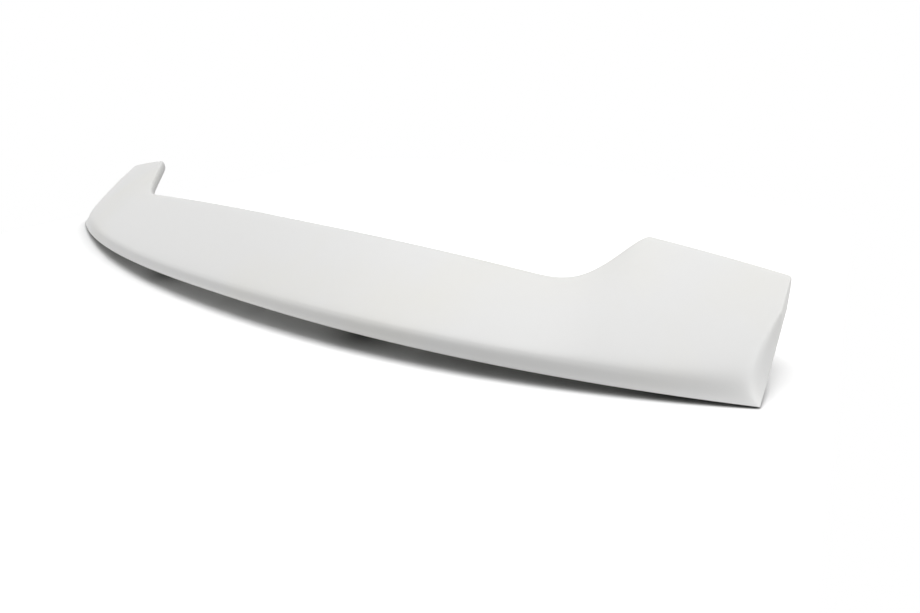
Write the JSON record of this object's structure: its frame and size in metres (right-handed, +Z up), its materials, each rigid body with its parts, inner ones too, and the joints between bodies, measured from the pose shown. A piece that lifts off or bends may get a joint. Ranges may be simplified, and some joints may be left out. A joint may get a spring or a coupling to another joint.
{
  "type": "car spoiler",
  "caption": "Wide bowed tailgate spoiler in plain white, open-backed, with a rounded rear face, a recessed front edge and two forward ears.",
  "frame": {"origin": "on the resting surface, under the middle of the plan: midway between the two ends and between the rearmost and foremost points", "axes": "+X across the car, along the spoiler's length; +Y towards the front of the car, the way the ears point; +Z up, away from the fixing feet"},
  "size_m": [1.2, 0.251, 0.1144],
  "materials": {
    "white_gelcoat": "unpainted satin white moulded skin with a few tiny pinholes"
  },
  "bodies": {
    "root": {"spoiler_moulding": "white_gelcoat"}
  },
  "joints": []
}
